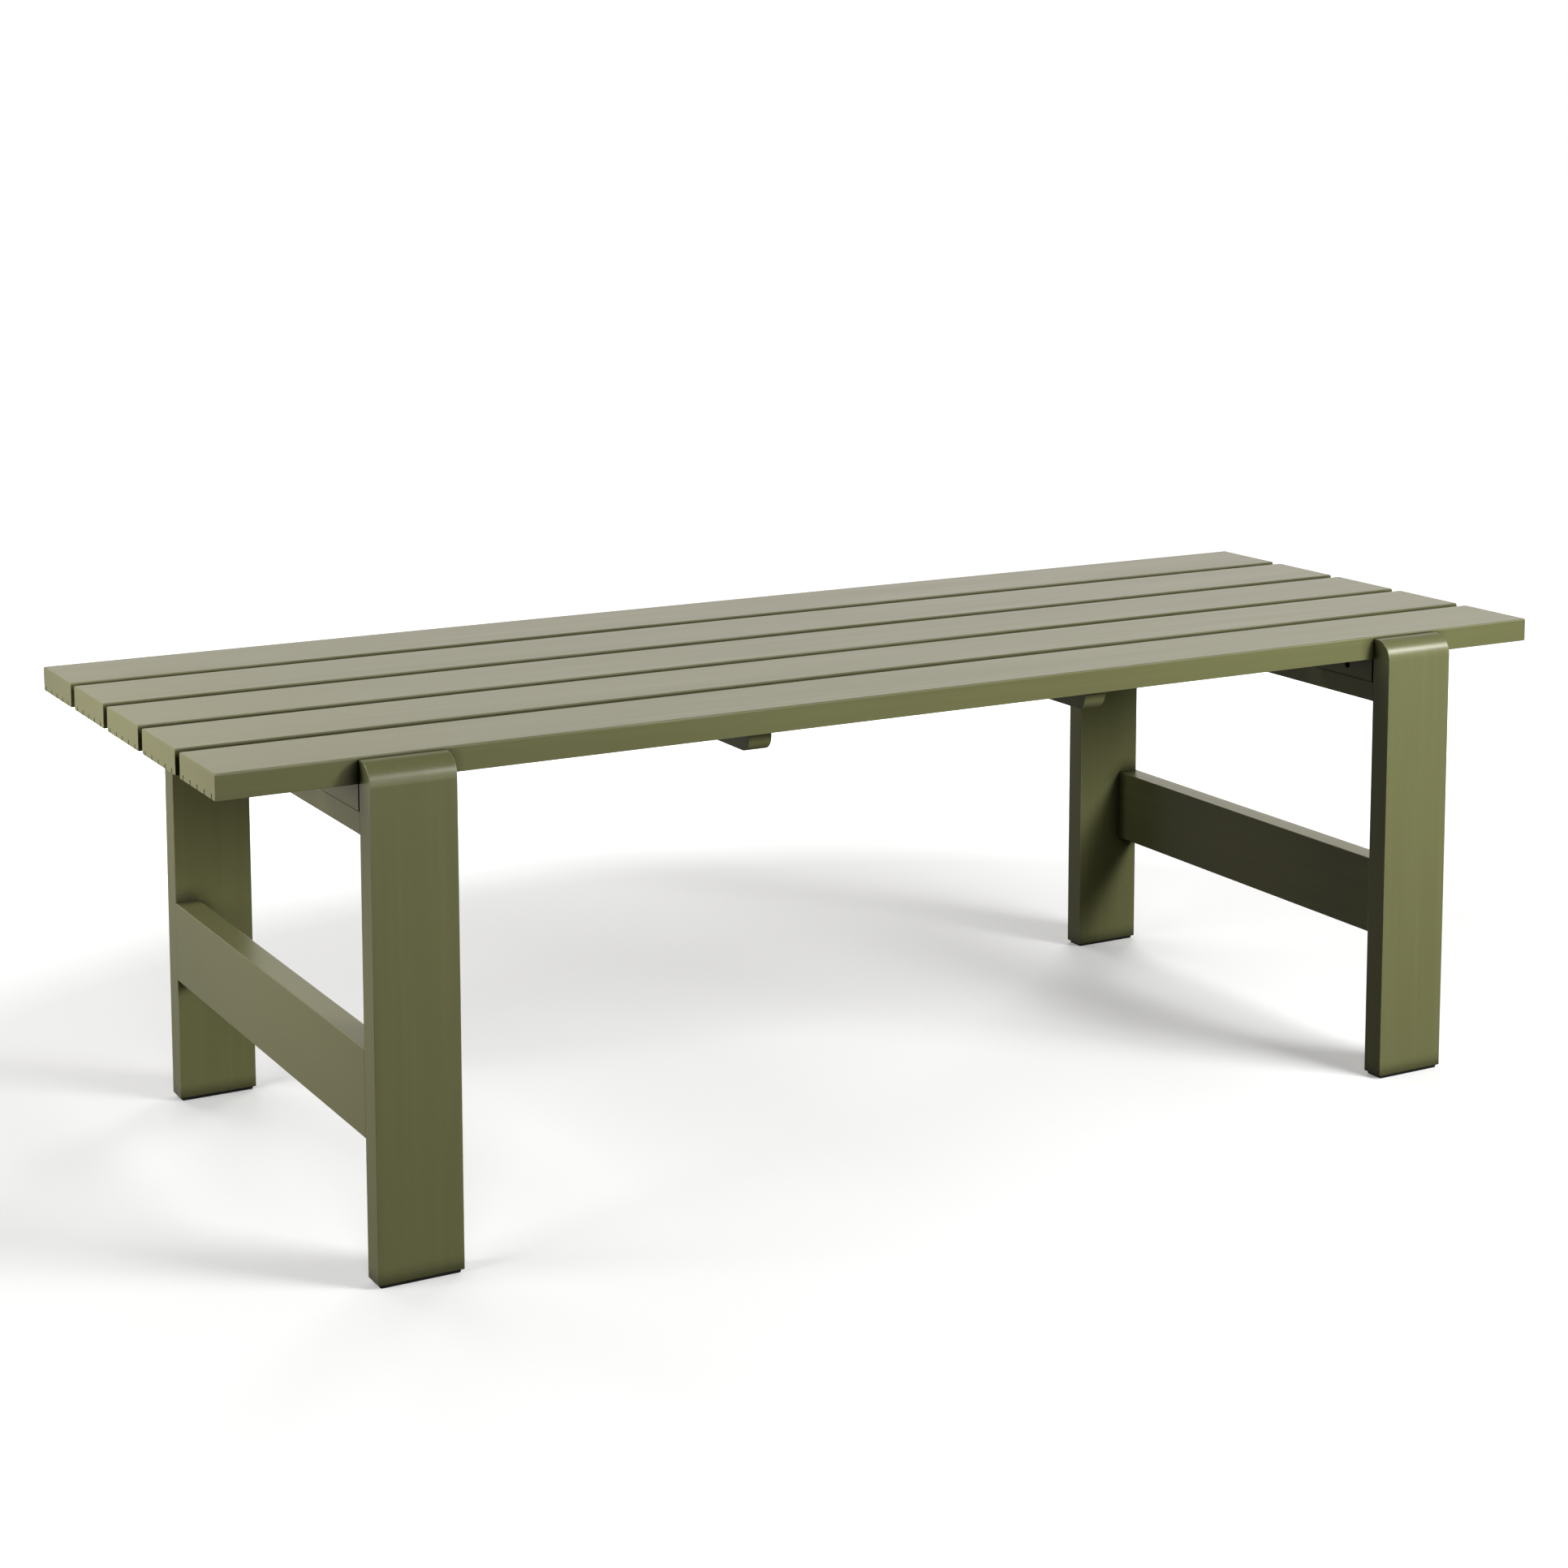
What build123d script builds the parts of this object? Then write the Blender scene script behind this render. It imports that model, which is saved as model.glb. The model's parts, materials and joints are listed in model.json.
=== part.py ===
from build123d import *
import os

# Slatted outdoor table: a top of five boards on cross battens, carried by two trestles.
# Millimetres. +X runs along the boards, +Y to the back, +Z up.
# The origin is on the floor under the middle of the top. "Right" is +X and "back" is +Y.

# ---- driving dimensions: the top ----
TOP_LENGTH = 2300.0
TABLE_HEIGHT = 740.0
SLAT_COUNT = 5
SLAT_WIDTH = 150.0
SLAT_GAP = 20.0
SLAT_THICKNESS = 37.5
SLAT_EDGE_RADIUS = 3.0
ARRIS = 1.2  # small rounding on every other long edge

# Relief cuts under each board, which let it move with the weather without cupping.
KERF_COUNT = 5
KERF_PITCH = 30.0
KERF_WIDTH = 3.0
KERF_DEPTH = 8.0

# ---- driving dimensions: battens under the boards ----
BATTEN_HEIGHT = 38.5
END_BATTEN_GAP = 4.0  # from the batten's end to the leg
MIDDLE_BATTEN_WIDTH = 38.5
MIDDLE_BATTEN_X = 300.0
MIDDLE_BATTEN_SETBACK = 49.0  # from the edge of the top to the batten's end
MIDDLE_BATTEN_NOSE = 22.0  # rounding of the lower corner at each end

# ---- driving dimensions: the trestles ----
OVERHANG = 202.0  # from the end of the boards to the end face of a leg
LEG_WIDTH = 128.0
LEG_THICKNESS = 39.5
LEG_CLEARANCE = 0.5  # from the edge of the top to the leg
LEG_DROP = 3.3  # from the surface of the top down to the leg's top
LEG_TOP_RADIUS = 32.0
RAIL_HEIGHT = 32.0
STRETCHER_HEIGHT = 128.0
STRETCHER_THICKNESS = 39.5
STRETCHER_BOTTOM = 204.0

# ---- driving dimensions: feet ----
PAD_HEIGHT = 5.0
PAD_INSET_X = 4.0
PAD_INSET_Y = 3.0
PAD_CORNER_RADIUS = 3.0
PAD_LOWER_RADIUS = 1.5
PAD_SCREW_SPACING = 70.0

# ---- driving dimensions: fasteners ----
FIT = 0.05  # radial room between a fastener and its hole
SCREW_SINK = 3.0  # how deep a screw's head sits below the wood
SLAT_SCREW_LENGTH = 60.0
PAD_SCREW_SINK = 1.0
PAD_SCREW_LENGTH = 25.0
END_SCREW_OFFSET_X = 40.0
SCREW_OFFSET_Y = 45.0  # between the second and the outer relief cut
NOSE_SCREW_OFFSET_Y = -15.0  # the outermost screws move in, clear of a middle batten's nose
SCREW_TIP_LENGTH = 6.0
SCREW_TIP_RADIUS = 0.3
DRIVE_DEPTH = 2.0
DRIVE_SHARE = 0.8  # the drive recess as a share of the shank

BOLT_RADIUS = 4.0
BOLT_LENGTH = 55.0
BOLT_HEAD_RADIUS = 6.5
BOLT_HEAD_HEIGHT = 8.0
BOLT_KEY_ACROSS_FLATS = 6.0
BOLT_CHAMFER = 0.8
BOLT_INSET_X = 36.0  # from the leg's inward face to the bolt
BOLT_Y = 350.0
BOLT_HOLE_RADIUS = 4.5
WASHER_RADIUS = 8.0
WASHER_THICKNESS = 1.6
COUNTERBORE_RADIUS = 9.0
COUNTERBORE_DEPTH = 11.0
NUT_RADIUS = 6.4
NUT_LENGTH = 20.0
NUT_HOLE_RADIUS = 6.5
NUT_SLOT = 1.6

DOWEL_RADIUS = 5.0
DOWEL_LENGTH = 58.0
DOWEL_IN_LEG = 27.0
DOWEL_SPACING = 40.0
DOWEL_COUNT = 3
DOWEL_CHAMFER = 1.0
DOWEL_END_ROOM = 1.0

# ---- places worked out from the sizes above ----
SLAT_PITCH = SLAT_WIDTH + SLAT_GAP
TOP_DEPTH = SLAT_COUNT * SLAT_WIDTH + (SLAT_COUNT - 1) * SLAT_GAP
SLAT_BOTTOM = TABLE_HEIGHT - SLAT_THICKNESS
BATTEN_BOTTOM = SLAT_BOTTOM - BATTEN_HEIGHT
RAIL_BOTTOM = BATTEN_BOTTOM - RAIL_HEIGHT
LEG_OUTER_X = TOP_LENGTH / 2 - OVERHANG
LEG_INNER_X = LEG_OUTER_X - LEG_WIDTH
LEG_CENTRE_X = (LEG_OUTER_X + LEG_INNER_X) / 2
LEG_INNER_Y = TOP_DEPTH / 2 + LEG_CLEARANCE
LEG_CENTRE_Y = LEG_INNER_Y + LEG_THICKNESS / 2
LEG_TOP = TABLE_HEIGHT - LEG_DROP
STRETCHER_CENTRE_X = LEG_OUTER_X - STRETCHER_THICKNESS / 2
STRETCHER_CENTRE_Z = STRETCHER_BOTTOM + STRETCHER_HEIGHT / 2
END_BATTEN_LENGTH = 2 * (LEG_INNER_Y - END_BATTEN_GAP)
MIDDLE_BATTEN_LENGTH = TOP_DEPTH - 2 * MIDDLE_BATTEN_SETBACK
BOLT_X = LEG_INNER_X + BOLT_INSET_X
BOLT_SEAT = RAIL_BOTTOM + COUNTERBORE_DEPTH
BOLT_HEAD_TOP = BOLT_SEAT - WASHER_THICKNESS
NUT_CENTRE_Z = BATTEN_BOTTOM + BATTEN_HEIGHT / 2


def spaced(count, pitch):
    """Evenly spaced offsets, centred on zero."""
    return [(index - (count - 1) / 2) * pitch for index in range(count)]


def slat_middles():
    """The y of each board's middle line, from front to back."""
    return spaced(SLAT_COUNT, SLAT_PITCH)


# ---- wood ----
def eased_board(size_x, size_y, size_z, long_axis):
    """A board with its four long edges eased and its ends cut square."""
    board = Box(size_x, size_y, size_z)
    return fillet(board.edges().filter_by(long_axis), ARRIS)


def slat(y):
    """One top board: full-length kerfs below, softly rounded long edges on top."""
    board = Box(TOP_LENGTH, SLAT_WIDTH, SLAT_THICKNESS)
    long_edges = board.edges().filter_by(Axis.X)
    board = fillet(long_edges.group_by(Axis.Z)[-1], SLAT_EDGE_RADIUS)
    seams = board.edges().filter_by(Axis.X).filter_by(lambda edge: edge.center().Z > 0)
    board = fillet([edge for edge in board.edges() if edge not in seams], ARRIS)
    kerf = Box(TOP_LENGTH, KERF_WIDTH, 2 * KERF_DEPTH)
    for kerf_y in spaced(KERF_COUNT, KERF_PITCH):
        board -= Pos(0, kerf_y, -SLAT_THICKNESS / 2) * kerf
    return Pos(0, y, TABLE_HEIGHT - SLAT_THICKNESS / 2) * board


def end_batten():
    """The wide batten at the right end, which sits on the trestle's rail."""
    board = eased_board(LEG_WIDTH, END_BATTEN_LENGTH, BATTEN_HEIGHT, Axis.Y)
    return Pos(LEG_CENTRE_X, 0, BATTEN_BOTTOM + BATTEN_HEIGHT / 2) * board


def middle_batten():
    """The narrow batten right of centre, with its lower corners rounded off."""
    board = Box(MIDDLE_BATTEN_WIDTH, MIDDLE_BATTEN_LENGTH, BATTEN_HEIGHT)
    nose_edges = board.edges().filter_by(Axis.X).group_by(Axis.Z)[0]
    board = fillet(nose_edges, MIDDLE_BATTEN_NOSE)
    side_faces = board.faces().filter_by(Axis.X)
    lower_edges = side_faces.edges().filter_by(lambda edge: edge.center().Z < BATTEN_HEIGHT / 2)
    board = fillet(lower_edges, ARRIS)
    return Pos(MIDDLE_BATTEN_X, 0, BATTEN_BOTTOM + BATTEN_HEIGHT / 2) * board


def leg():
    """The right front leg: a plank with its outer top edge rounded over."""
    leg_height = LEG_TOP - PAD_HEIGHT
    plank = Box(LEG_WIDTH, LEG_THICKNESS, leg_height)
    edges_along_x = plank.edges().filter_by(Axis.X)
    outer_edges = edges_along_x.group_by(Axis.Y)[0]
    plank = fillet(outer_edges.group_by(Axis.Z)[-1], LEG_TOP_RADIUS)
    upper_edges = plank.edges().filter_by(Axis.X).filter_by(lambda edge: edge.center().Z > 0)
    seams = upper_edges.sort_by(Axis.Y)[:-1]
    plank = fillet([edge for edge in plank.edges() if edge not in seams], ARRIS)
    return Pos(LEG_CENTRE_X, -LEG_CENTRE_Y, PAD_HEIGHT + leg_height / 2) * plank


def rail():
    """The right trestle's top rail: a flat board between the legs, as wide as they are."""
    board = eased_board(LEG_WIDTH, 2 * LEG_INNER_Y, RAIL_HEIGHT, Axis.Y)
    return Pos(LEG_CENTRE_X, 0, RAIL_BOTTOM + RAIL_HEIGHT / 2) * board


def stretcher():
    """The right trestle's low stretcher: a board on edge, flush with the legs' end faces."""
    board = eased_board(STRETCHER_THICKNESS, 2 * LEG_INNER_Y, STRETCHER_HEIGHT, Axis.Y)
    return Pos(STRETCHER_CENTRE_X, 0, STRETCHER_CENTRE_Z) * board


def foot_pad():
    """The pad under the right front leg, a little smaller than the leg all round."""
    pad = Box(LEG_WIDTH - 2 * PAD_INSET_X, LEG_THICKNESS - 2 * PAD_INSET_Y, PAD_HEIGHT)
    pad = fillet(pad.edges().filter_by(Axis.Z), PAD_CORNER_RADIUS)
    pad = fillet(pad.faces().sort_by(Axis.Z)[0].edges(), PAD_LOWER_RADIUS)
    return Pos(LEG_CENTRE_X, -LEG_CENTRE_Y, PAD_HEIGHT / 2) * pad


# ---- fasteners ----
def screw_body(shank_radius, head_radius, length, room):
    """A countersunk wood screw pointing up, its head at z = 0, made thicker by room."""
    shank = shank_radius + room
    head = head_radius + room
    head_height = head_radius - shank_radius
    outline = Polyline(
        (0, 0),
        (head, 0),
        (shank, head_height),
        (shank, length - SCREW_TIP_LENGTH),
        (SCREW_TIP_RADIUS + room, length),
        (0, length),
        close=True,
    )
    return revolve(make_face(Plane.XZ * outline), Axis.Z)


def screw(shank_radius, head_radius, length):
    """The screw with a hexagonal drive recess in its head."""
    recess = RegularPolygon(shank_radius * DRIVE_SHARE, 6)
    return screw_body(shank_radius, head_radius, length, 0) - extrude(recess, DRIVE_DEPTH)


def screw_hole(shank_radius, head_radius, length, sink):
    """The space a sunk screw takes, open below its head."""
    head_well = Cylinder(head_radius + FIT, sink, align=(Align.CENTER, Align.CENTER, Align.MAX))
    return screw_body(shank_radius, head_radius, length, FIT) + head_well


SLAT_SCREW = {"shank_radius": 2.5, "head_radius": 5.0, "length": SLAT_SCREW_LENGTH}
PAD_SCREW = {"shank_radius": 2.0, "head_radius": 4.0, "length": PAD_SCREW_LENGTH}


def bolt():
    """A socket-head bolt pointing up, with the underside of its head at z = 0."""
    head = Cylinder(BOLT_HEAD_RADIUS, BOLT_HEAD_HEIGHT, align=(Align.CENTER, Align.CENTER, Align.MAX))
    head = chamfer(head.edges().group_by(Axis.Z)[0], BOLT_CHAMFER)
    shank = Cylinder(BOLT_RADIUS, BOLT_LENGTH, align=(Align.CENTER, Align.CENTER, Align.MIN))
    shank = chamfer(shank.edges().group_by(Axis.Z)[-1], BOLT_CHAMFER)
    key = RegularPolygon(BOLT_KEY_ACROSS_FLATS / 2, 6, major_radius=False)
    socket = Pos(0, 0, -BOLT_HEAD_HEIGHT) * extrude(key, BOLT_HEAD_HEIGHT / 2)
    return head + shank - socket


def washer():
    """A flat washer with its top face at z = 0."""
    disc = Cylinder(WASHER_RADIUS, WASHER_THICKNESS, align=(Align.CENTER, Align.CENTER, Align.MAX))
    return disc - Cylinder(BOLT_HOLE_RADIUS, 3 * WASHER_THICKNESS)


def barrel_nut():
    """A cross dowel lying along X, with a threaded cross hole and a slot in its inward end."""
    barrel = Rot(0, 90, 0) * Cylinder(NUT_RADIUS, NUT_LENGTH)
    slot = Pos(-NUT_LENGTH / 2, 0, 0) * Box(2 * NUT_SLOT, 2 * NUT_RADIUS, NUT_SLOT)
    return barrel - Cylinder(BOLT_RADIUS + FIT, 3 * NUT_RADIUS) - slot


def dowel():
    """A glued dowel lying along Y, with chamfered ends."""
    rod = Cylinder(DOWEL_RADIUS, DOWEL_LENGTH)
    return Rot(90, 0, 0) * chamfer(rod.edges().filter_by(GeomType.CIRCLE), DOWEL_CHAMFER)


def dowel_hole():
    """The hole for a dowel, with a little room for glue past each end."""
    hole = Cylinder(DOWEL_RADIUS + FIT, DOWEL_LENGTH + 2 * DOWEL_END_ROOM)
    return Rot(90, 0, 0) * hole


# ---- where the fasteners of the right half go ----
def slat_screw_places(x, offset_x, outermost_offset_y):
    """Two screws per board, one each side of the board's middle line and of x."""
    places = []
    for board_y in slat_middles():
        for side in (-1, 1):
            outermost = abs(board_y + side) > max(slat_middles())
            offset_y = outermost_offset_y if outermost else SCREW_OFFSET_Y
            places.append(Pos(x + side * offset_x, board_y + side * offset_y, BATTEN_BOTTOM + SCREW_SINK))
    return places


def end_screw_places():
    """The screws of the end batten, in two staggered rows."""
    return slat_screw_places(LEG_CENTRE_X, END_SCREW_OFFSET_X, SCREW_OFFSET_Y)


def middle_screw_places():
    """The screws of the middle batten, in one line."""
    return slat_screw_places(MIDDLE_BATTEN_X, 0, NOSE_SCREW_OFFSET_Y)


def bolt_places(z):
    """The two bolts that hold the end batten down on its rail."""
    return [Pos(BOLT_X, y, z) for y in (-BOLT_Y, BOLT_Y)]


def dowel_y_places():
    """The middle of each dowel, which reaches DOWEL_IN_LEG into the front or back leg."""
    middle = LEG_INNER_Y + DOWEL_IN_LEG - DOWEL_LENGTH / 2
    return (-middle, middle)


def rail_dowel_places():
    """Dowels side by side across the flat rail."""
    x = LEG_CENTRE_X
    z = RAIL_BOTTOM + RAIL_HEIGHT / 2
    offsets = spaced(DOWEL_COUNT, DOWEL_SPACING)
    return [Pos(x + offset, y, z) for y in dowel_y_places() for offset in offsets]


def stretcher_dowel_places():
    """Dowels one above the other in the upright stretcher."""
    x = STRETCHER_CENTRE_X
    z = STRETCHER_CENTRE_Z
    offsets = spaced(DOWEL_COUNT, DOWEL_SPACING)
    return [Pos(x, y, z + offset) for y in dowel_y_places() for offset in offsets]


def pad_screw_places(y):
    """Two screws in the pad at y."""
    return [Pos(LEG_CENTRE_X + offset, y, PAD_SCREW_SINK) for offset in spaced(2, PAD_SCREW_SPACING)]


def placed(piece, places):
    """Copies of one piece, one at each place."""
    return [place * piece for place in places]


def cut(body, holes):
    """The body with every hole taken out."""
    for hole in holes:
        body -= hole
    return body


def flipped(pieces, plane):
    """Every piece mirrored through a plane."""
    return [mirror(piece, about=plane) for piece in pieces]


# ---- the assembly ----
def right_half():
    """Every node of the right-hand end, by name: lists of solids."""
    slat_screw_hole = screw_hole(**SLAT_SCREW, sink=SCREW_SINK)
    end_holes = placed(slat_screw_hole, end_screw_places())
    middle_holes = placed(slat_screw_hole, middle_screw_places())
    bolt_height = BOLT_LENGTH + WASHER_THICKNESS
    bolt_way = Cylinder(BOLT_HOLE_RADIUS, bolt_height, align=(Align.CENTER, Align.CENTER, Align.MIN))
    bolt_holes = placed(bolt_way, bolt_places(BOLT_SEAT))
    counterbore = Cylinder(COUNTERBORE_RADIUS, 2 * COUNTERBORE_DEPTH)
    counterbores = placed(counterbore, bolt_places(RAIL_BOTTOM))
    nut_way_length = BOLT_INSET_X + NUT_LENGTH / 2
    nut_way = Rot(0, 90, 0) * Cylinder(NUT_HOLE_RADIUS, nut_way_length)
    nut_way = Pos(nut_way_length / 2 - BOLT_INSET_X, 0, 0) * nut_way
    nut_holes = placed(nut_way, bolt_places(NUT_CENTRE_Z))
    rail_dowel_holes = placed(dowel_hole(), rail_dowel_places())
    stretcher_dowel_holes = placed(dowel_hole(), stretcher_dowel_places())
    pad_screw_hole = screw_hole(**PAD_SCREW, sink=PAD_SCREW_SINK)
    pad_holes = placed(pad_screw_hole, pad_screw_places(-LEG_CENTRE_Y))

    front_leg = cut(leg(), rail_dowel_holes[:DOWEL_COUNT] + stretcher_dowel_holes[:DOWEL_COUNT] + pad_holes)
    front_pad = cut(foot_pad(), pad_holes)
    front_pad_screws = placed(screw(**PAD_SCREW), pad_screw_places(-LEG_CENTRE_Y))
    return {
        "end_batten": [cut(end_batten(), end_holes + bolt_holes + nut_holes)],
        "middle_batten": [cut(middle_batten(), middle_holes)],
        "rail": [cut(rail(), counterbores + bolt_holes + rail_dowel_holes)],
        "stretcher": [cut(stretcher(), stretcher_dowel_holes)],
        "leg_front": [front_leg],
        "leg_back": flipped([front_leg], Plane.XZ),
        "foot_pad_front": [front_pad],
        "foot_pad_back": flipped([front_pad], Plane.XZ),
        "foot_pad_screws": front_pad_screws + flipped(front_pad_screws, Plane.XZ),
        "end_batten_screws": placed(screw(**SLAT_SCREW), end_screw_places()),
        "middle_batten_screws": placed(screw(**SLAT_SCREW), middle_screw_places()),
        "rail_bolts": placed(bolt(), bolt_places(BOLT_HEAD_TOP)),
        "rail_bolt_washers": placed(washer(), bolt_places(BOLT_SEAT)),
        "barrel_nuts": placed(barrel_nut(), bolt_places(NUT_CENTRE_Z)),
        "rail_dowels": placed(dowel(), rail_dowel_places()),
        "stretcher_dowels": placed(dowel(), stretcher_dowel_places()),
    }


def slats():
    """The five boards, with the screw holes of all four battens."""
    places = end_screw_places() + middle_screw_places()
    right_holes = placed(screw_hole(**SLAT_SCREW, sink=SCREW_SINK), places)
    holes = right_holes + flipped(right_holes, Plane.YZ)
    boards = {}
    for number, board_y in enumerate(slat_middles(), start=1):
        under_board = [hole for hole in holes if abs(hole.center().Y - board_y) < SLAT_WIDTH / 2]
        boards[f"slat_{number}"] = [cut(slat(board_y), under_board)]
    return boards


def build_nodes():
    """Every node of the table, by name."""
    nodes = slats()
    for name, pieces in right_half().items():
        nodes[f"{name}_right"] = pieces
        nodes[f"{name}_left"] = flipped(pieces, Plane.YZ)
    return nodes


def write_node(name, pieces):
    """One STEP file per node: a single solid, or a group of separate ones."""
    solids = [solid for piece in pieces for solid in piece.solids()]
    shape = solids[0] if len(solids) == 1 else Compound(children=solids)
    export_step(shape, f"parts/{name}.step")


os.makedirs("parts", exist_ok=True)
for node_name, node_pieces in build_nodes().items():
    write_node(node_name, node_pieces)
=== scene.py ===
import json
import math

import bpy
from mathutils import Matrix, Vector


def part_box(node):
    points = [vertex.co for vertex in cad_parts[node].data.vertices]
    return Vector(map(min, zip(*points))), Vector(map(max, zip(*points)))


# A painted slatted outdoor table in a white studio. Metres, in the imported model's frame:
# +X runs along the boards, +Y to the back, +Z up, with the origin on the floor.

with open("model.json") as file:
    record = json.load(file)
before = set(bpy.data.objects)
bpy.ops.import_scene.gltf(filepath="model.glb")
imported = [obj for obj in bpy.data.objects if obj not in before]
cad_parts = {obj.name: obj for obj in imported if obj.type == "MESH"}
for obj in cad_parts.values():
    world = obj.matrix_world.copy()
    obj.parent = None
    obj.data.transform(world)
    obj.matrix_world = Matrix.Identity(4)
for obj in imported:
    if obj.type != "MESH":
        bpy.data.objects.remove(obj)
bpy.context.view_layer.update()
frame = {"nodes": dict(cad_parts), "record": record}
nodes = frame["nodes"]

WHITE = (1.0, 1.0, 1.0)
WARM = (1.0, 0.95, 0.85)
BLACK_TO_WHITE = (0.0, 1.0)

# ---- camera ----
CAMERA_PLACE = Vector((-2.380, -4.171, 1.662))
CAMERA_YAW = -29.13  # degrees, turned to the left of +Y when positive
CAMERA_PITCH = -7.0
CAMERA_ROLL = -0.08
CAMERA_LENS = 68.8
CAMERA_SENSOR = 36.0
CAMERA_SHIFT_Y = -0.22  # the photograph keeps its uprights nearly parallel
LEVEL = 90  # degrees of tilt that bring a camera from looking straight down to looking level

# ---- paint ----
PAINT = (0.161, 0.167, 0.0730)
PAINT_LIGHT = (0.170, 0.177, 0.0790)
PAINT_DARK = (0.154, 0.159, 0.0690)
# Edges: partly real wear of the paint, partly a painted highlight along the rounded edges.
PAINT_WORN_AND_HIGHLIGHT = (0.330, 0.335, 0.225)
PAINTED_SHADE_COLOUR = (0.030, 0.030, 0.014)  # painted shade, put in the gaps, kerfs and inside corners
PAINT_ROUGHNESS = (0.30, 0.35)
PATCH_SIZE = (0.30, 0.12)  # soft patches of tone: length along the grain and width across it
STREAK_SIZE = (0.60, 0.012)
BRUSH_SIZE = (0.15, 0.0022)
STREAK_RELIEF = (0.06, 0.0006)  # a bump's strength and its depth in metres
BRUSH_RELIEF = (0.07, 0.0002)
STREAK_RANGE = (0.45, 0.75)  # the part of the streaks that lightens the paint
WEAR_AND_HIGHLIGHT_RANGE = (0.4, 0.6)  # the part of the streaks that breaks up the edges' wear and painted highlight
WEAR_AND_HIGHLIGHT = (0.3, 0.8)  # how far the paint on an edge goes to the colour of wear and painted highlight
EDGE_WIDTH = 0.0015
EDGE_SAMPLES = 4
EDGE_TURN = (0.995, 0.93)  # cosines of the turn at which an edge begins and is full
ROUNDED_TILT = (0.1, 0.6)  # the normal's lesser part across the grain, where a round begins and is full
# Painted shade in gaps and inside corners: how far it looks for other faces, and with how many samples.
SHADE_REACH = 0.030
SHADE_SAMPLES = 6
SHADE_OPENNESS = (0.97, 0.55)  # how open a spot is where the painted shade begins and where it is full

# ---- the other materials: two colours, a range of roughness, a feature size and a relief ----
RUBBER_COLOURS = ((0.008, 0.008, 0.008), (0.02, 0.02, 0.019))
RUBBER_ROUGHNESS = (0.55, 0.75)
RUBBER_SPECKLE = 0.002
RUBBER_RELIEF = (0.3, 0.0003)
STEEL_COLOURS = ((0.42, 0.42, 0.43), (0.60, 0.60, 0.59))
STEEL_ROUGHNESS = (0.28, 0.45)
STEEL_CLOUD = 0.004
STEEL_RELIEF = (0.1, 0.0002)
BEECH_COLOURS = ((0.36, 0.23, 0.12), (0.52, 0.37, 0.22))
BEECH_ROUGHNESS = (0.5, 0.65)
BEECH_GRAIN = (0.04, 0.0012)
BEECH_RELIEF = (0.2, 0.0003)
DOWEL_AXIS = 1  # the dowels lie along Y

# ---- noise: how many finer layers it has, and how it is spread over colour and roughness ----
SOFT_DETAIL = 2.0
SPECKLE_DETAIL = 3.0
GRAIN_DETAIL = 4.0
LAYER_STRENGTH = 0.5  # how strong each finer layer is next to the one before
STREAK_LAYER_STRENGTH = 0.6
COLOUR_RANGE = (0.35, 0.65)  # the part of a noise that its colours are spread over
ROUGHNESS_RANGE = (0.3, 0.7)  # the part of a noise that its roughness is spread over

# ---- studio floor ----
FLOOR_SIZE = 60.0
FLOOR_COLOUR = (0.85, 0.85, 0.85)
FLOOR_ROUGHNESS = 0.9
FLOOR_SPECULAR = 0.1
FLOOR_GLOW = (0.07, 1.0)  # the floor's own glow by the table and far from it
FLOOR_FADE = (1.3, 2.7)  # distances from the table's middle between which the glow changes
FLOOR_STRETCH = (0.8, 1.0, 1.0)  # counts distances along the table as shorter, to suit its shape

# ---- studio lights ----
BAND_SHARPNESS = 5.0  # how tightly the bright band keeps to the horizon
SIDE_SHARPNESS = 2.0  # how tightly each side of it keeps to its direction
# The bright sides of the band, at the back and the back right: direction and strength.
BAND_SIDES = [((0.0, 1.0, 0.0), 0.50), ((0.707, 0.707, 0.0), 1.70)]

# Soft boxes: place, the point each faces, width and height, power in watts and colour.
UNDER_TOP = (0.0, 0.0, 0.3)  # under the middle of the table's top
RIGHT_OF_MIDDLE = (0.2, 0.0, 0.3)
TABLE_LIGHTS = {
    "key": ((1.9, -3.25, 1.77), (0.2, 0.0, 0.4), (0.8, 0.8), 105.0, WHITE),
    "key_high": ((1.2, -3.2, 2.3), (0.2, 0.0, 0.4), (1.2, 1.2), 35.0, WHITE),
    "front_low": ((0.0, -5.0, 1.2), (0.0, 0.0, 0.5), (2.5, 2.0), 40.0, WARM),
    "left_high": ((-2.6, 0.6, 3.0), (-0.8, 0.0, 0.6), (1.5, 1.5), 25.0, WHITE),
    "left_low": ((-2.0, 0.0, 0.95), (-1.1, 0.0, 0.6), (0.6, 1.2), 15.0, WARM),
}
LEG_SHEEN = {"leg_sheen": ((2.1, -2.85, 2.6), (0.0, 0.0, 0.5), (2.8, 0.9), 165.0, WHITE)}
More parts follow.
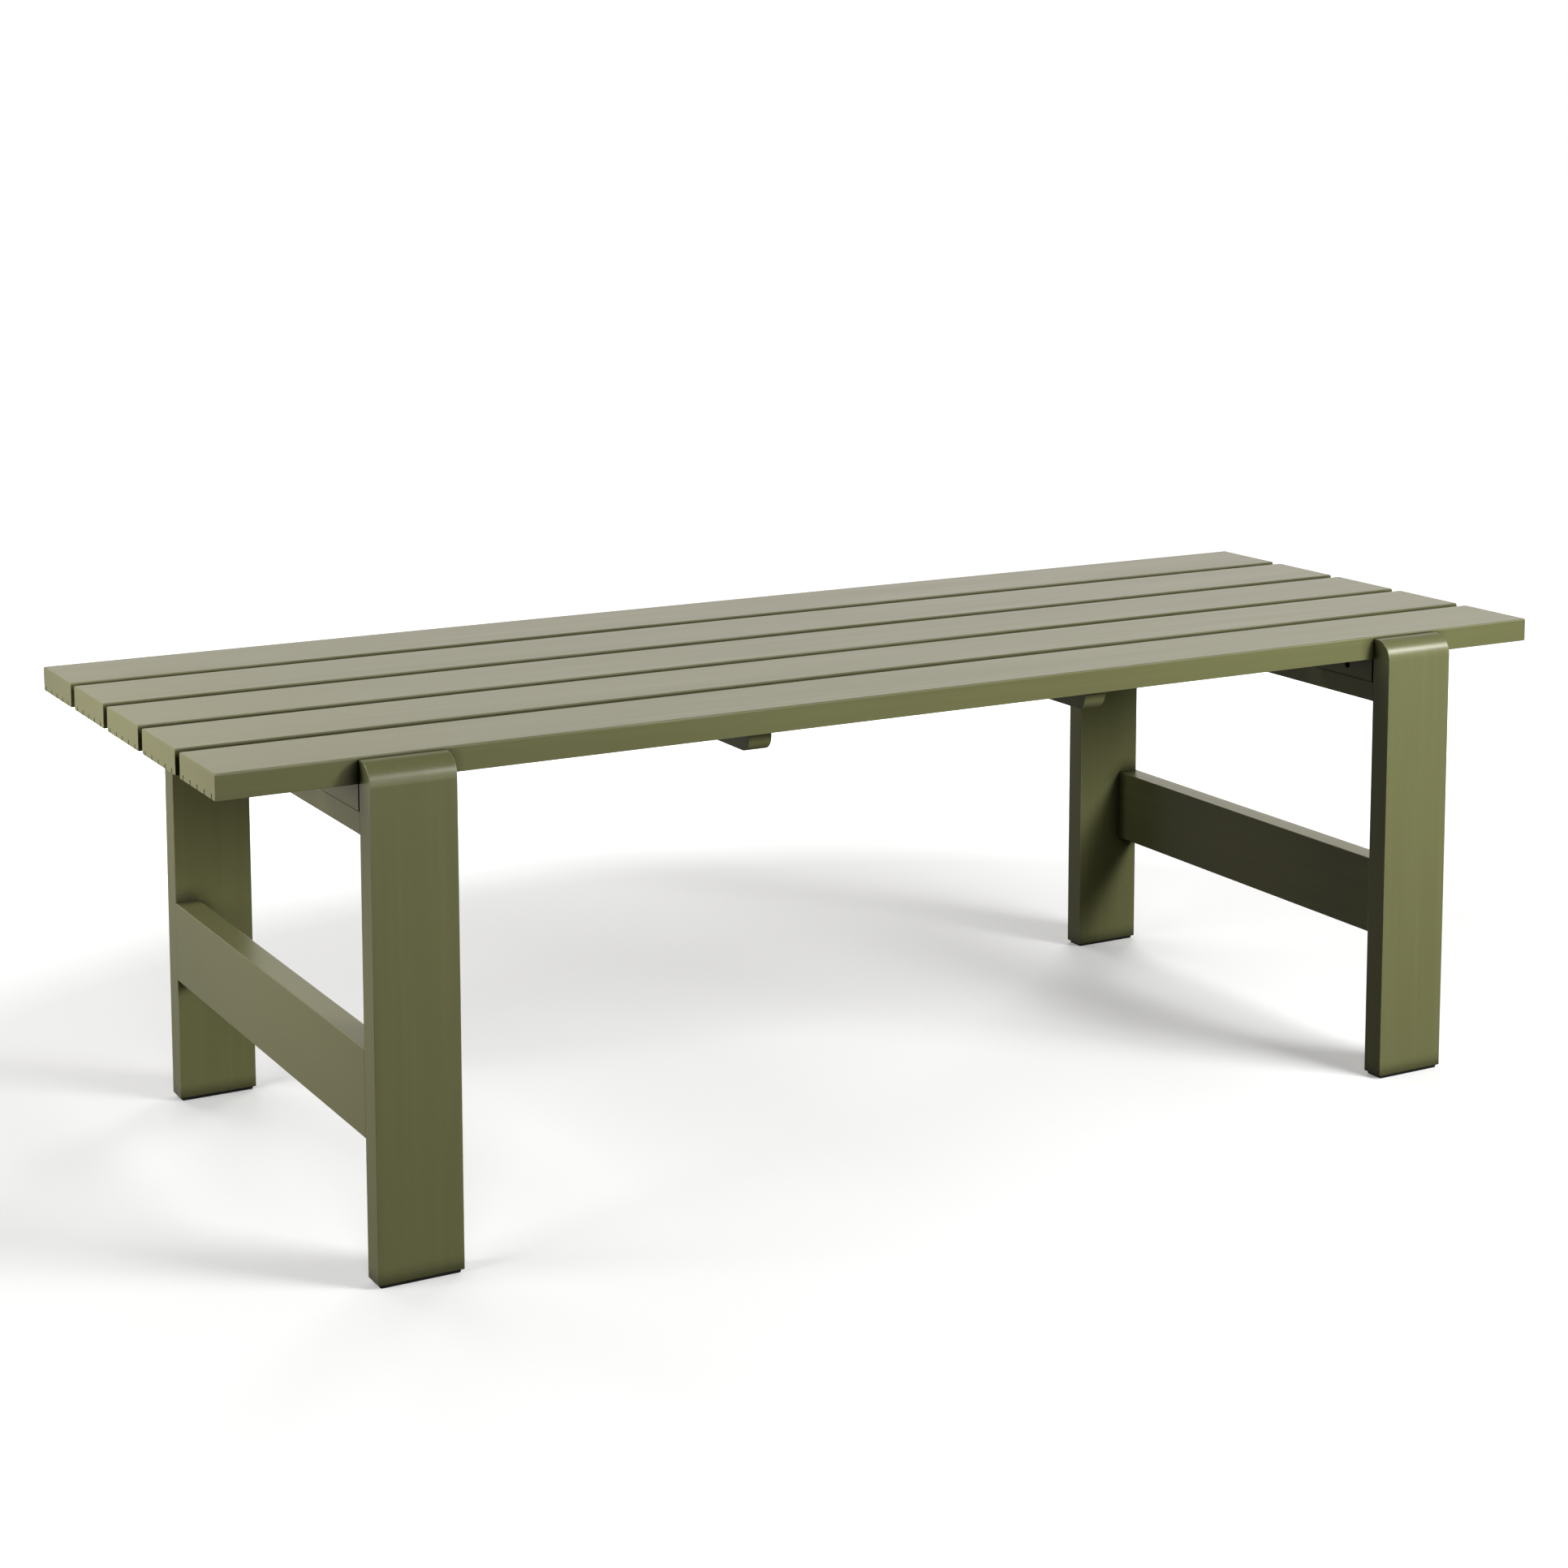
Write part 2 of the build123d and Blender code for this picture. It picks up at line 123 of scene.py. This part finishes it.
FLOOR_LIGHTS = {
    "floor_right": ((2.66, -2.66, 1.77), RIGHT_OF_MIDDLE, (0.8, 0.8), 55.0, WHITE),
    "floor_front": ((1.9, -3.25, 1.77), RIGHT_OF_MIDDLE, (0.8, 0.8), 35.0, WHITE),
    "floor_front_high": ((1.64, -2.84, 2.7), RIGHT_OF_MIDDLE, (0.9, 0.9), 60.0, WHITE),
    "floor_front_low": ((2.5, -3.0, 1.05), RIGHT_OF_MIDDLE, (0.6, 0.5), 40.0, WHITE),
    "floor_front_left": ((-2.0, -3.4, 1.0), UNDER_TOP, (1.4, 1.0), 60.0, WHITE),
    "floor_left": ((-3.9, -0.2, 1.0), UNDER_TOP, (2.4, 1.0), 100.0, WHITE),
    "floor_back_left": ((-1.8, 3.5, 1.0), UNDER_TOP, (1.6, 0.8), 50.0, WHITE),
    "floor_back": ((0.0, 3.9, 1.0), UNDER_TOP, (1.6, 0.8), 45.0, WHITE),
    "floor_back_right": ((2.5, 2.7, 1.7), UNDER_TOP, (1.6, 1.2), 45.0, WHITE),
}
DIFFUSE_ONLY = ("key", "key_high")  # lights that the satin paint doesn't mirror
MIRRORED_ONLY = ("leg_sheen",)  # lights that only show as highlights


# ---- node helpers ----
def add(tree, kind, inputs=None, **settings):
    """A node of this kind with its settings. Inputs go by name or number: a value, or an output to link."""
    node = tree.nodes.new(kind)
    for name, value in settings.items():
        setattr(node, name, value)
    for name, value in (inputs or {}).items():
        if isinstance(value, bpy.types.NodeSocket):
            tree.links.new(value, node.inputs[name])
        else:
            node.inputs[name].default_value = value
    return node


def new_material(name):
    """A material with a Principled shader: the material, its node tree and the shader."""
    material = bpy.data.materials.new(name)
    material.use_nodes = True
    tree = material.node_tree
    return material, tree, tree.nodes["Principled BSDF"]


def stretched_noise(tree, size, detail, strength=LAYER_STRENGTH):
    """Noise whose features have about this size along X, Y and Z, in metres, with finer layers on them."""
    place = add(tree, "ShaderNodeTexCoord").outputs["Object"]
    scale = [1 / length for length in size]
    mapping = add(tree, "ShaderNodeMapping", {"Vector": place, "Scale": scale})
    inputs = {"Vector": mapping.outputs["Vector"], "Scale": 1.0, "Detail": detail, "Roughness": strength}
    return add(tree, "ShaderNodeTexNoise", inputs).outputs["Fac"]


def along(axis, length, across):
    """A feature size that is long on one axis and thin on the other two."""
    return [length if index == axis else across for index in range(3)]


def remapped(tree, value, from_range, to_range=BLACK_TO_WHITE):
    """The value carried from one range to another, and held inside it."""
    inputs = {
        "Value": value,
        "From Min": from_range[0],
        "From Max": from_range[1],
        "To Min": to_range[0],
        "To Max": to_range[1],
    }
    return add(tree, "ShaderNodeMapRange", inputs).outputs["Result"]


def mixed(tree, factor, first, second):
    """Colour going from first to second as factor goes from 0 to 1."""
    node = add(tree, "ShaderNodeMix", data_type="RGBA")
    # The Mix node's sockets share their names, so its factor and two colours go by number.
    for socket, value in zip((node.inputs[0], node.inputs[6], node.inputs[7]), (factor, first, second)):
        if isinstance(value, bpy.types.NodeSocket):
            tree.links.new(value, socket)
        else:
            socket.default_value = (*value, 1.0)
    return node.outputs[2]


def combined(tree, operation, first, second):
    """One number from two, by this operation of the Math node."""
    return add(tree, "ShaderNodeMath", {0: first, 1: second}, operation=operation).outputs[0]


def bumped(tree, height, relief, under=None):
    """The surface's normal with this height's bumps on it, laid over the bumps under them."""
    strength, depth = relief
    inputs = {"Height": height, "Strength": strength, "Distance": depth}
    if under is not None:
        inputs["Normal"] = under
    return add(tree, "ShaderNodeBump", inputs).outputs["Normal"]


def edge_mask(tree, radius):
    """About 1 along sharp edges within this radius and 0 on flat faces."""
    bevel = add(tree, "ShaderNodeBevel", {"Radius": radius}, samples=EDGE_SAMPLES)
    flat = add(tree, "ShaderNodeNewGeometry").outputs["True Normal"]
    dot = add(tree, "ShaderNodeVectorMath", {0: bevel.outputs["Normal"], 1: flat}, operation="DOT_PRODUCT")
    return remapped(tree, dot.outputs["Value"], EDGE_TURN)


def rounded_mask(tree, grain_axis):
    """1 on the middle of the rounded edges that run along the grain, and 0 on flat faces."""
    normal = add(tree, "ShaderNodeNewGeometry").outputs["Normal"]
    size = add(tree, "ShaderNodeVectorMath", {0: normal}, operation="ABSOLUTE").outputs[0]
    parts = add(tree, "ShaderNodeSeparateXYZ", {"Vector": size}).outputs
    first, second = [parts[axis] for axis in range(3) if axis != grain_axis]
    return remapped(tree, combined(tree, "MINIMUM", first, second), ROUNDED_TILT)


def recess_shade_mask(tree, reach):
    """About 1 deep in gaps and inside corners, where other faces are within reach, and 0 in the open: the
    mask of the painted shade.
    """
    occlusion = add(tree, "ShaderNodeAmbientOcclusion", {"Distance": reach}, samples=SHADE_SAMPLES)
    return remapped(tree, occlusion.outputs["AO"], SHADE_OPENNESS)


# ---- materials ----
def painted_timber(name, grain_axis):
    """Satin paint brushed along the grain: faint streaks, soft patches, edges where the paint wears thin and
    is lightened further as a painted highlight, and painted shade in the gaps.
    """
    material, tree, shader = new_material(name)
    patches = stretched_noise(tree, along(grain_axis, *PATCH_SIZE), SOFT_DETAIL)
    streaks = stretched_noise(tree, along(grain_axis, *STREAK_SIZE), GRAIN_DETAIL, STREAK_LAYER_STRENGTH)
    brush = stretched_noise(tree, along(grain_axis, *BRUSH_SIZE), SOFT_DETAIL)
    colour = mixed(tree, remapped(tree, patches, COLOUR_RANGE), PAINT_DARK, PAINT)
    colour = mixed(tree, remapped(tree, streaks, STREAK_RANGE), colour, PAINT_LIGHT)
    # The edges get a lighter colour: partly wear of the paint, partly a painted highlight along the rounded
    # edges.
    edges = combined(tree, "MAXIMUM", edge_mask(tree, EDGE_WIDTH), rounded_mask(tree, grain_axis))
    worn_and_highlight = combined(tree, "MULTIPLY", edges, remapped(tree, streaks, WEAR_AND_HIGHLIGHT_RANGE, WEAR_AND_HIGHLIGHT))
    colour = mixed(tree, worn_and_highlight, colour, PAINT_WORN_AND_HIGHLIGHT)
    # Painted shade: the colour goes dark in gaps, kerfs and inside corners.
    colour = mixed(tree, recess_shade_mask(tree, SHADE_REACH), colour, PAINTED_SHADE_COLOUR)
    tree.links.new(colour, shader.inputs["Base Color"])
    tree.links.new(remapped(tree, streaks, ROUGHNESS_RANGE, PAINT_ROUGHNESS), shader.inputs["Roughness"])
    normal = bumped(tree, brush, BRUSH_RELIEF, under=bumped(tree, streaks, STREAK_RELIEF))
    tree.links.new(normal, shader.inputs["Normal"])
    return material


def textured(name, size, detail, colours, roughness, relief):
    """A material whose colour, roughness and bumps all follow one noise, and its shader."""
    material, tree, shader = new_material(name)
    noise = stretched_noise(tree, size, detail)
    colour = mixed(tree, remapped(tree, noise, COLOUR_RANGE), *colours)
    tree.links.new(colour, shader.inputs["Base Color"])
    tree.links.new(remapped(tree, noise, ROUGHNESS_RANGE, roughness), shader.inputs["Roughness"])
    tree.links.new(bumped(tree, noise, relief), shader.inputs["Normal"])
    return material, shader


def foot_rubber():
    """Black rubber with a fine speckle."""
    looks = (RUBBER_COLOURS, RUBBER_ROUGHNESS, RUBBER_RELIEF)
    return textured("foot_rubber", [RUBBER_SPECKLE] * 3, SPECKLE_DETAIL, *looks)[0]


def hardware_steel():
    """Plated steel with a dull cloudy finish."""
    looks = (STEEL_COLOURS, STEEL_ROUGHNESS, STEEL_RELIEF)
    material, shader = textured("hardware_steel", [STEEL_CLOUD] * 3, SPECKLE_DETAIL, *looks)
    shader.inputs["Metallic"].default_value = 1.0
    return material


def dowel_wood():
    """Pale beech with fine straight grain along the dowels."""
    looks = (BEECH_COLOURS, BEECH_ROUGHNESS, BEECH_RELIEF)
    return textured("dowel_wood", along(DOWEL_AXIS, *BEECH_GRAIN), GRAIN_DETAIL, *looks)[0]


def floor_material():
    """A pale, matt studio floor that glows up to white away from the table."""
    material, tree, shader = new_material("floor")
    shader.inputs["Base Color"].default_value = (*FLOOR_COLOUR, 1.0)
    shader.inputs["Roughness"].default_value = FLOOR_ROUGHNESS
    shader.inputs["Specular IOR Level"].default_value = FLOOR_SPECULAR
    shader.inputs["Emission Color"].default_value = (*WHITE, 1.0)
    place = add(tree, "ShaderNodeTexCoord").outputs["Object"]
    shaped = add(tree, "ShaderNodeVectorMath", {0: place, 1: FLOOR_STRETCH}, operation="MULTIPLY").outputs[0]
    distance = add(tree, "ShaderNodeVectorMath", {0: shaped}, operation="LENGTH").outputs["Value"]
    glow = remapped(tree, distance, FLOOR_FADE, FLOOR_GLOW)
    tree.links.new(glow, shader.inputs["Emission Strength"])
    return material


def longest_axis(name):
    """The axis that a CAD node is longest on, which is the way its grain runs."""
    lowest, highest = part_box(name)
    return max(range(3), key=lambda axis: highest[axis] - lowest[axis])


def paint_nodes():
    """Gives each CAD node its material, by the record's slot and, for timber, by its grain."""
    timber = [painted_timber(f"painted_timber_{letter}", axis) for axis, letter in enumerate("xyz")]
    others = {"foot_rubber": foot_rubber(), "hardware_steel": hardware_steel(), "dowel_wood": dowel_wood()}
    slots = {part["node"]: part["material_slot"] for part in frame["record"]["subparts"]}
    for name, node in nodes.items():
        for material_slot in node.material_slots:
            material_slot.material = others.get(slots[name]) or timber[longest_axis(name)]


# ---- studio ----
def make_floor():
    """A wide floor that the table takes no light from, so the underside stays dark."""
    bpy.ops.mesh.primitive_plane_add(size=FLOOR_SIZE)
    floor = bpy.context.object
    floor.name = "studio_floor"
    floor.data.materials.append(floor_material())
    floor.visible_diffuse = False
    floor.visible_glossy = False
    return floor


def soft_box(name, place, aim, size, power, colour):
    """An area light at place that faces aim, and that the camera doesn't see."""
    data = bpy.data.lights.new(name, "AREA")
    data.shape = "RECTANGLE"
    data.size, data.size_y = size
    data.energy = power
    data.color = colour
    light = bpy.data.objects.new(name, data)
    light.location = place
    light.rotation_mode = "QUATERNION"
    light.rotation_quaternion = (Vector(aim) - Vector(place)).to_track_quat("-Z", "Y")
    light.visible_camera = False
    light.visible_glossy = name not in DIFFUSE_ONLY
    light.visible_diffuse = name not in MIRRORED_ONLY
    bpy.context.scene.collection.objects.link(light)
    return light


def light_only(group, pieces, soft_boxes):
    """Makes these soft boxes, which light these pieces and nothing else."""
    lit = bpy.data.collections.new(group)
    for piece in pieces:
        lit.objects.link(piece)
    for name, settings in soft_boxes.items():
        soft_box(name, *settings).light_linking.receiver_collection = lit


def horizon_band(tree):
    """The light from a bright band along the horizon, strongest on the sides in BAND_SIDES."""
    direction = add(tree, "ShaderNodeTexCoord").outputs["Generated"]
    height = add(tree, "ShaderNodeSeparateXYZ", {"Vector": direction}).outputs["Z"]
    squared = combined(tree, "MULTIPLY", height, height)
    fall = combined(tree, "MULTIPLY", squared, -BAND_SHARPNESS)
    band = add(tree, "ShaderNodeMath", {0: fall}, operation="EXPONENT").outputs[0]
    total = 0.0
    for side, strength in BAND_SIDES:
        cosine = add(tree, "ShaderNodeVectorMath", {0: direction, 1: side}, operation="DOT_PRODUCT")
        facing = combined(tree, "MAXIMUM", cosine.outputs["Value"], 0.0)
        narrowed = combined(tree, "POWER", facing, SIDE_SHARPNESS)
        inputs = {0: narrowed, 1: strength, 2: total}
        total = add(tree, "ShaderNodeMath", inputs, operation="MULTIPLY_ADD").outputs[0]
    return combined(tree, "MULTIPLY", total, band)


def make_world():
    """A white background for the camera. The table is lit by the band along the horizon."""
    world = bpy.data.worlds.new("studio")
    bpy.context.scene.world = world
    world.use_nodes = True
    tree = world.node_tree
    tree.nodes.clear()
    backdrop = add(tree, "ShaderNodeBackground", {"Color": (*WHITE, 1.0)})
    band = add(tree, "ShaderNodeBackground", {"Color": (*WARM, 1.0), "Strength": horizon_band(tree)})
    seen = add(tree, "ShaderNodeLightPath").outputs["Is Camera Ray"]
    shown = add(tree, "ShaderNodeMixShader", {0: seen, 1: band.outputs[0], 2: backdrop.outputs[0]})
    add(tree, "ShaderNodeOutputWorld", {"Surface": shown.outputs[0]})


def make_camera():
    """Looks at the table from its front left and above."""
    data = bpy.data.cameras.new("camera")
    data.sensor_width = CAMERA_SENSOR
    data.lens = CAMERA_LENS
    data.shift_y = CAMERA_SHIFT_Y
    data.clip_end = FLOOR_SIZE
    camera = bpy.data.objects.new("camera", data)
    turn = Matrix.Rotation(math.radians(CAMERA_YAW), 4, "Z")
    tilt = Matrix.Rotation(math.radians(LEVEL + CAMERA_PITCH), 4, "X")
    roll = Matrix.Rotation(math.radians(CAMERA_ROLL), 4, "Z")
    camera.matrix_world = Matrix.Translation(CAMERA_PLACE) @ turn @ tilt @ roll
    bpy.context.scene.collection.objects.link(camera)
    bpy.context.scene.camera = camera


paint_nodes()
studio_floor = make_floor()
make_world()
light_only("table_lit", nodes.values(), TABLE_LIGHTS)
light_only("legs_lit", [nodes["leg_front_left"], nodes["leg_front_right"]], LEG_SHEEN)
light_only("floor_lit", [studio_floor], FLOOR_LIGHTS)
make_camera()
bpy.context.scene.view_settings.view_transform = "Standard"
